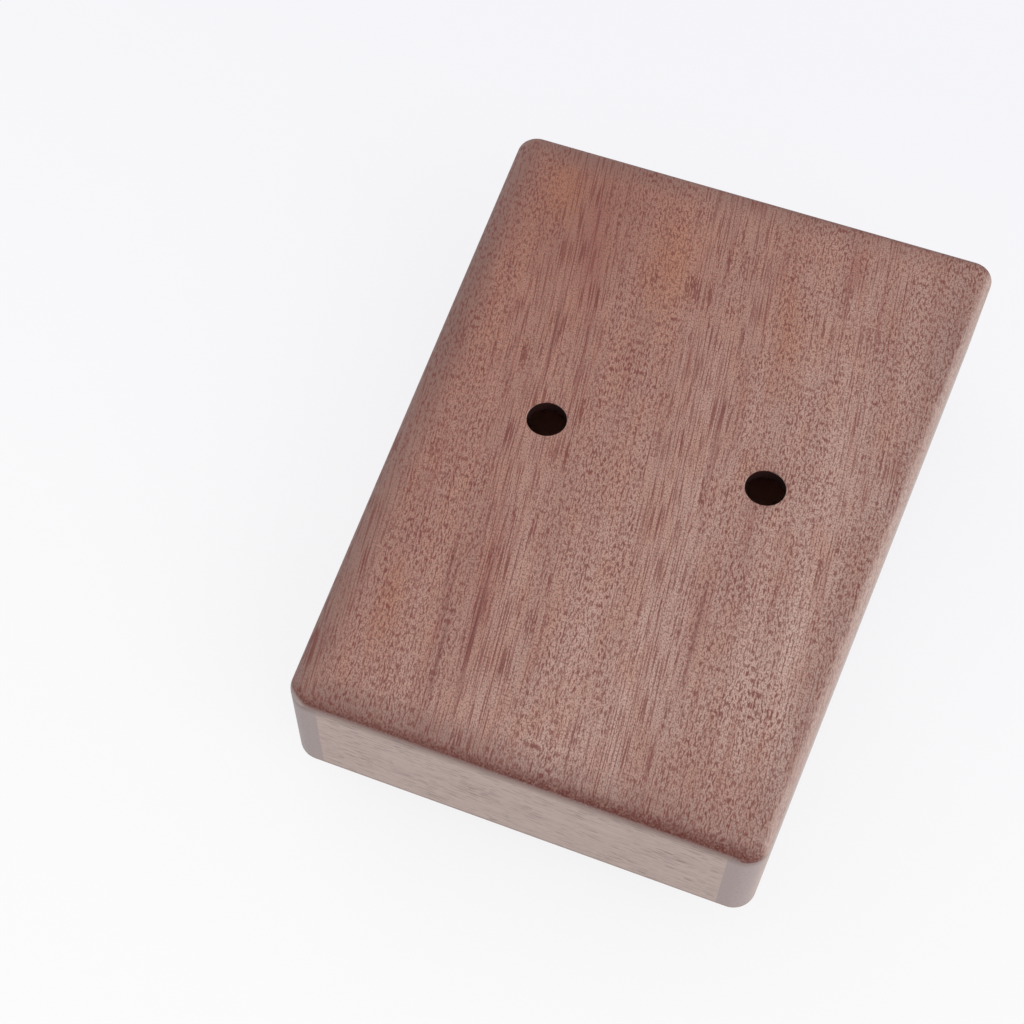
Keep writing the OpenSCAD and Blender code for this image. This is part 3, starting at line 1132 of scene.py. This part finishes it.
@dataclass
class TineRow:
    """Seventeen spring-steel tines, each clamped under the bar and bending past the front rod."""

    board_z: float
    bridge_y: float
    rod_span: float = 18.0
    rod_axis_height: float = 5.0
    rod_radius: float = 2.0
    gap: float = 0.1
    width: float = 4.6
    thickness: float = 1.0
    edge: float = 0.18
    lift_deg: float = 4.0
    tail: float = 8.0
    tip_length: float = 12.0
    tip_turn_deg: float = 12.0
    bend_share: float = 0.8
    # Steps of the mesh, and the share of the tip from which they close up towards its round end
    bow_steps: int = 12
    blade_steps: int = 24
    tip_steps: int = 14
    round_steps: int = 10
    round_from: float = 0.8
    edge_steps: int = 3
    slope_rounds: int = 12
    finish: Metal = Metal("brushed_spring_steel", "#C0C3C6", 0.3, GrainAxis.ALONG)

    def build(self) -> None:
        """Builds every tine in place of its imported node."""
        material = self.finish.material()
        for joint in frame["joints"]:
            body = joint["child"]
            low, high = box_mm(body)
            x = (low[0] + high[0]) / 2
            piece = self._strip(x, *self._middle_line(low[1])).piece(f"{body}_blade")
            dress(piece, material)
            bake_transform(piece)
            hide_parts(body)

    def _middle_line(self, front_y: float) -> tuple[Array, Array]:
        """Middle line of a tine seen from the side.

        A straight tail slopes down to the rear rod, a circular bow passes under the bar, a straight blade
        leaves the front rod, and the tip turns up on a circular arc. The blade's slope brings the tip to the
        common height.

        Args:
            front_y: Place of the tip along the body.

        Returns:
            Points forward of the bar and off the soundboard, and the slope at each.
        """
        lift, turn = math.radians(self.lift_deg), math.radians(self.tip_turn_deg)
        bow_radius = self.rod_span / 2 / math.sin(lift)
        tip_radius = self.tip_length / turn
        rest = (self.rod_radius + self.gap + self.thickness / 2) / math.cos(lift)
        start = np.array([self.rod_span / 2, self.rod_axis_height + rest])
        rise = self.board_z - self.thickness / 2 * math.cos(lift + turn) - start[1]
        slope, blade = self._blade(self.bridge_y - front_y - start[0], rise, tip_radius, turn)
        bow = np.linspace(-lift, lift, self.bow_steps + 1)
        bow_line = start + bow_radius * np.stack(
            [np.sin(bow) - math.sin(lift), math.cos(lift) - np.cos(bow)], axis=1)
        tail = bow_line[0] + self.tail * np.array([[-math.cos(lift), math.sin(lift)]])
        run = np.linspace(0, blade, self.blade_steps + 1)[1:, None]
        blade_line = start + run * [math.cos(slope), math.sin(slope)]
        closing = np.sin(np.linspace(0, math.pi / 2, self.round_steps + 1)[1:])
        arc = np.concatenate([np.linspace(0, self.round_from, self.tip_steps)[1:],
                              self.round_from + (1 - self.round_from) * closing])
        angles = slope + turn * arc
        tip_line = blade_line[-1] + tip_radius * np.stack(
            [np.sin(angles) - math.sin(slope), math.cos(slope) - np.cos(angles)], axis=1)
        slopes = np.concatenate([[-lift], bow, np.full(self.blade_steps, slope), angles])
        return np.concatenate([tail, bow_line, blade_line, tip_line]), slopes

    def _blade(self, reach: float, rise: float, tip_radius: float, turn: float) -> tuple[float, float]:
        """Slope and length of a straight blade whose turned-up tip ends at a given place.

        The tip's own rise and reach at the last slope are taken off those of the end, and what is left gives
        the next slope. A dozen rounds of that are exact to a thousandth of a millimetre.

        Args:
            reach: How far the tip's end lies past the front rod.
            rise: How far it lies above the place where the blade leaves the rod.
            tip_radius: Radius of the tip's arc.
            turn: Angle of the tip's arc.

        Returns:
            The slope in radians and the blade's length.
        """
        slope = math.atan2(rise, reach)
        for _ in range(self.slope_rounds):
            end_up = tip_radius * (math.cos(slope) - math.cos(slope + turn))
            end_on = tip_radius * (math.sin(slope + turn) - math.sin(slope))
            slope = math.atan2(rise - end_up, reach - end_on)
        return slope, math.hypot(rise - end_up, reach - end_on)

    def _strip(self, x: float, path: Array, slope: Array) -> Surface:
        """Flat strip with rounded edges carried along a path, with a half-round end at the tip.

        The half width is that of a half circle over the last half width of length, and the section is a
        rectangle with quarter-circle corners.

        Args:
            x: Place of the strip across the bridge.
            path: Points forward of the bar and off the soundboard.
            slope: Slope of the path at each point.

        Returns:
            The closed strip.
        """
        steps = np.linalg.norm(np.diff(path, axis=0), axis=1)
        left = np.concatenate([np.cumsum(steps[::-1])[::-1], [0.0]])
        radius = self.width / 2
        half = np.sqrt(radius ** 2 - np.maximum(radius - left, 0.0) ** 2)
        edge = np.minimum(self.edge, half)[:, None]
        quarter = np.linspace(0, math.pi / 2, self.edge_steps + 1)
        around = np.concatenate([quarter + corner * math.pi / 2 for corner in range(4)])
        sign_x = np.repeat([1, -1, -1, 1], len(quarter))
        sign_z = np.repeat([1, 1, -1, -1], len(quarter))
        across = sign_x * (half[:, None] - edge) + edge * np.cos(around)
        beside = sign_z * (self.thickness / 2 - edge) + edge * np.sin(around)
        forward = path[:, :1] - beside * np.sin(slope)[:, None]
        off_board = path[:, 1:] + beside * np.cos(slope)[:, None]
        grid = np.stack([x + across, self.bridge_y - forward, self.board_z - off_board], axis=-1)
        cap = np.broadcast_to(grid[:1].mean(axis=1, keepdims=True), grid[:1].shape)
        return Surface.from_grid(np.concatenate([cap, grid]), wrap_columns=True)


@dataclass(frozen=True)
class Lamp:
    """Soft square light that looks at the middle of the object: sizes in millimetres, power in watts."""

    name: str
    place: Triple
    size: float
    watts: float

    def build(self) -> None:
        """Hangs the lamp."""
        data = bpy.data.lights.new(self.name, "AREA")
        data.size = self.size * MM
        data.energy = self.watts
        lamp = new_object(self.name, data)
        lamp.visible_camera = False
        low, high = CAD_BOX
        lamp.location = Vector(self.place) * MM
        lamp.rotation_mode = "QUATERNION"
        lamp.rotation_quaternion = ((low + high) / 2 - lamp.location).to_track_quat("-Z", "Y")


@dataclass
class Studio:
    """Pale floor, soft light and the camera."""

    # Camera, in the frame of the body: place in millimetres and angles in degrees
    camera_place: Triple = (52.9, -244.8, 410.5)
    azimuth: float = 19.84
    elevation: float = 57.58
    roll: float = 1.13
    lens_mm: float = 63.1
    sensor_mm: float = 36.0
    clip_m: tuple[float, float] = (0.01, 50.0)
    # Light
    dome: str = "#F8F9FC"
    dome_strength: float = 0.86
    lamps: tuple[Lamp, ...] = (
        Lamp("key", (2000.0, -1250.0, 1500.0), 2200.0, 44.0),
        Lamp("fill", (-1700.0, 1500.0, 1300.0), 2200.0, 12.0),
    )
    # Floor, in metres: how it looks away from the object and near it, and how much of its shading it hides
    floor: str = "#F2F2F2"
    floor_half: float = 6.0
    white: str = "#F4F4F8"
    # Painted light: the floor is whiter near the object and in front of it
    near_white: str = "#FDFCFC"
    nearer: Ramp = Ramp(0.2, -0.2)
    close: Ramp = Ramp(0.45, 1.6, 1.0, 0.0)
    white_share: Ramp = Ramp(low=1.0, high=0.86)

    def build(self) -> None:
        """Sets the stage."""
        bpy.context.scene.view_settings.view_transform = "Standard"
        self._camera()
        self._world()
        self._floor()
        for lamp in self.lamps:
            lamp.build()

    def _camera(self) -> None:
        """Camera from its place, its azimuth and elevation round the body, and its roll about the view."""
        data = bpy.data.cameras.new("camera")
        data.sensor_width = self.sensor_mm
        data.lens = self.lens_mm
        data.clip_start, data.clip_end = self.clip_m
        around, up = math.radians(self.azimuth), math.radians(self.elevation)
        back = Vector((math.sin(around) * math.cos(up), -math.cos(around) * math.cos(up), math.sin(up)))
        right = Vector((0, 0, 1)).cross(back).normalized()
        level = Matrix((right, back.cross(right), back)).transposed()
        turned = level @ Matrix.Rotation(math.radians(self.roll), 3, "Z")
        camera = new_object("camera", data)
        camera.matrix_world = Matrix.Translation(Vector(self.camera_place) * MM) @ turned.to_4x4()
        bpy.context.scene.camera = camera

    @staticmethod
    def _seen(tree: Tree) -> Node:
        """One for rays that look at the stage: from the camera, or off gloss or through glass.

        Args:
            tree: Node tree to build in.

        Returns:
            A value of 0 or 1.
        """
        rays = add_node(tree, "ShaderNodeLightPath").outputs
        looks = add_node(tree, MATH, (rays["Is Camera Ray"], rays["Is Glossy Ray"]), operation="MAXIMUM")
        return add_node(tree, MATH, (looks, rays["Is Transmission Ray"]), operation="MAXIMUM")

    def _world(self) -> None:
        """Even dome of light that looks white."""
        world = bpy.data.worlds.new("light_tent")
        world.use_nodes = True
        tree = world.node_tree
        tree.nodes.clear()
        light = add_node(tree, BACKGROUND, {"Color": linear(self.dome), "Strength": self.dome_strength})
        white = add_node(tree, BACKGROUND, {"Color": linear(self.white), "Strength": 1.0})
        mixed = add_node(tree, MIX_SHADER, (self._seen(tree), light, white))
        add_node(tree, "ShaderNodeOutputWorld", {"Surface": mixed})
        bpy.context.scene.world = world

    def _floor(self) -> None:
        """Pale floor that looks almost white and keeps a faint shadow.

        Near the object and in front of it the floor is painted whiter, as painted light.
        """
        material = blank_material("pale_floor")
        tree = material.node_tree
        paper = add_node(tree, "ShaderNodeBsdfDiffuse", {"Color": linear(self.floor)})
        source = add_node(tree, COORDINATES)
        place = add_node(tree, SEPARATE, (source.outputs["Object"],))
        away = add_node(tree, VECTOR_MATH, (source.outputs["Object"],), operation="LENGTH").outputs["Value"]
        nearer = add_node(tree, MAP_RANGE, self.nearer.of(place.outputs["Y"]))
        close = add_node(tree, MAP_RANGE, self.close.of(away), interpolation_type="SMOOTHSTEP")
        tinted = add_node(tree, MATH, (nearer, close), operation="MULTIPLY")
        whites = {MIX_A: linear(self.white), MIX_B: linear(self.near_white)}
        tint = add_node(tree, MIX, {0: tinted, **whites}, data_type="RGBA")
        white = add_node(tree, "ShaderNodeEmission", {"Color": tint.outputs[MIX_RESULT], "Strength": 1.0})
        shown = add_node(tree, MAP_RANGE, self.white_share.of(close))
        share = add_node(tree, MATH, (self._seen(tree), shown), operation="MULTIPLY")
        mixed = add_node(tree, MIX_SHADER, (share, paper, white))
        add_node(tree, OUTPUT, {"Surface": mixed})
        side = np.array([-self.floor_half, self.floor_half]) / MM
        plan = np.stack(np.meshgrid(side, side, indexing="ij"), axis=-1)
        patch = Surface.from_grid(at_height(plan, 0.0))
        mesh = bpy.data.meshes.new("floor")
        mesh.from_pydata((patch.points * MM).tolist(), [], patch.quads.tolist())
        mesh.materials.append(material)
        floor = new_object("floor", mesh)


def main() -> None:
    """Builds the kalimba piece by piece, then the studio round it."""
    logging.basicConfig(level=logging.INFO, format="%(message)s")
    low, high = box_mm("back_plate")
    outline = TaperedOutline(length=high[1] - low[1])
    SoundBox(outline).build()
    Bridge(outline).build()
    bar_low, bar_high = box_mm("pressure_bar")
    TineRow(board_z=box_mm("soundboard")[0][2], bridge_y=(bar_low[1] + bar_high[1]) / 2).build()
    Studio().build()


if __name__ == "__main__":
    main()
